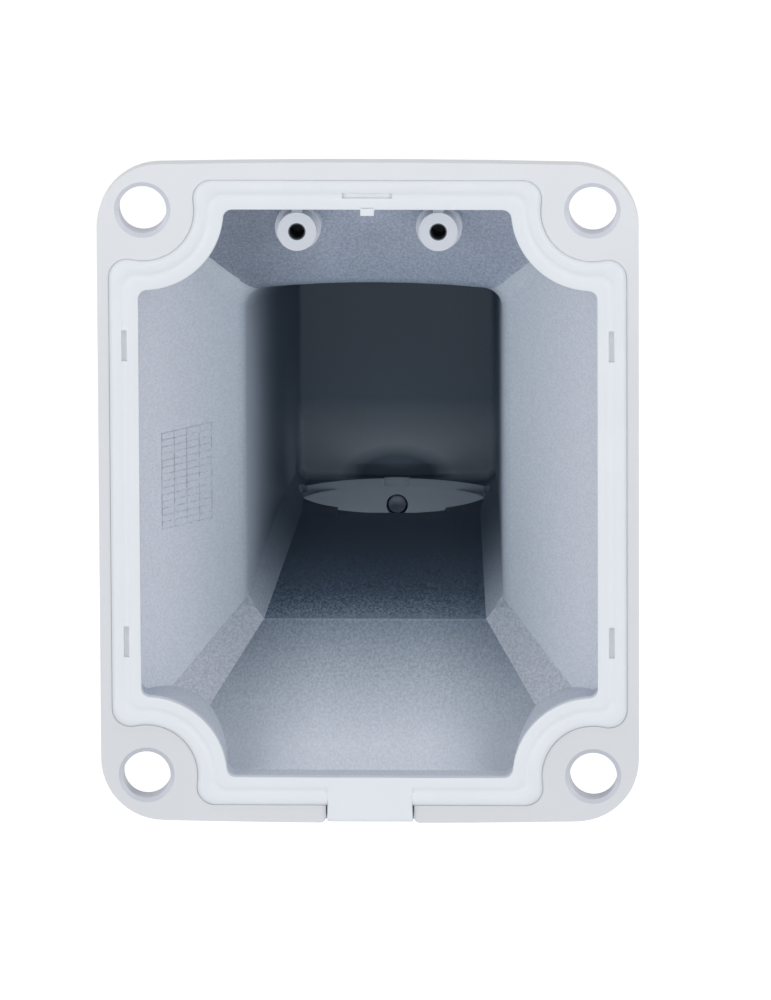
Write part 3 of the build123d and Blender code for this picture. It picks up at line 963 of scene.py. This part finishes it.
threadMesh = plainMesh(threadTree(), pipeThread, "pipeThread")
threadMove = Matrix.Translation(Vector((0, threadPlace["y"], threadPlace["z"])) * mm)
placePiece(threadMesh, threadMove, "pipeThreadRidges", "arm")

print("stage: cast table on the funnel wall")

castTable = {
    "Width": 16.6 * mm,
    "Height": 21.4 * mm,
    "Rows": 14,
    "Columns": 4,
    "Line": 0.2 * mm,
    "Rise": 0.2 * mm,
}
tablePlace = {"x": -40.69, "y": 19.46, "z": 0.1, "lean": 51.6}   # lean of the wall in degrees


def tableTree():
    tree = bpy.data.node_groups.new("castTable", "GeometryNodeTree")
    for name, value in castTable.items():
        kind = "NodeSocketInt" if isinstance(value, int) else "NodeSocketFloat"
        nodeInput(tree, name, kind, value)
    tree.interface.new_socket(name="Geometry", in_out="OUTPUT", socket_type="NodeSocketGeometry")
    given = tree.nodes.new("NodeGroupInput")
    gather = tree.nodes.new("GeometryNodeJoinGeometry")

    def lines(spread, length, number, axis):
        # parallel bars; spread is the input across them, length the one along them
        more = calc(tree, "ADD", given.outputs[number], 1.0)
        step = calc(tree, "DIVIDE", given.outputs[spread], given.outputs[number])
        start = calc(tree, "MULTIPLY", given.outputs[spread], -0.5)
        offset = tree.nodes.new("ShaderNodeCombineXYZ")
        first = tree.nodes.new("ShaderNodeCombineXYZ")
        size = tree.nodes.new("ShaderNodeCombineXYZ")
        other = "Y" if axis == "X" else "X"
        link(tree, step, offset.inputs[axis])
        link(tree, start, first.inputs[axis])
        link(tree, given.outputs["Line"], size.inputs[axis])
        barLength = calc(tree, "ADD", given.outputs[length], given.outputs["Line"])
        link(tree, barLength, size.inputs[other])
        link(tree, given.outputs["Rise"], size.inputs["Z"])
        row = tree.nodes.new("GeometryNodeMeshLine")
        link(tree, more, row.inputs["Count"])
        link(tree, first.outputs[0], row.inputs["Start Location"])
        link(tree, offset.outputs[0], row.inputs["Offset"])
        bar = tree.nodes.new("GeometryNodeMeshCube")
        link(tree, size.outputs[0], bar.inputs["Size"])
        copies = tree.nodes.new("GeometryNodeInstanceOnPoints")
        link(tree, row.outputs[0], copies.inputs["Points"])
        link(tree, bar.outputs[0], copies.inputs["Instance"])
        link(tree, copies.outputs[0], gather.inputs[0])

    lines("Width", "Height", "Columns", "X")
    lines("Height", "Width", "Rows", "Y")
    whole = tree.nodes.new("GeometryNodeRealizeInstances")
    finish = tree.nodes.new("GeometryNodeSetMaterial")
    finish.inputs["Material"].default_value = lineShadeCoat
    result = tree.nodes.new("NodeGroupOutput")
    link(tree, gather.outputs[0], whole.inputs[0])
    link(tree, whole.outputs[0], finish.inputs["Geometry"])
    link(tree, finish.outputs[0], result.inputs[0])
    return tree


tableMesh = plainMesh(tableTree(), castTable, "castTable")
lean = math.radians(tablePlace["lean"])
alongWall = Vector((math.cos(lean), math.sin(lean), 0))      # into the arm, along the wall
upWall = Vector((0, 0, 1))
tableMove = Matrix((alongWall, upWall, alongWall.cross(upWall))).transposed().to_4x4()
tableMove.translation = Vector((tablePlace["x"], tablePlace["y"], tablePlace["z"])) * mm
placePiece(tableMesh, tableMove, "castTableLines", "arm")
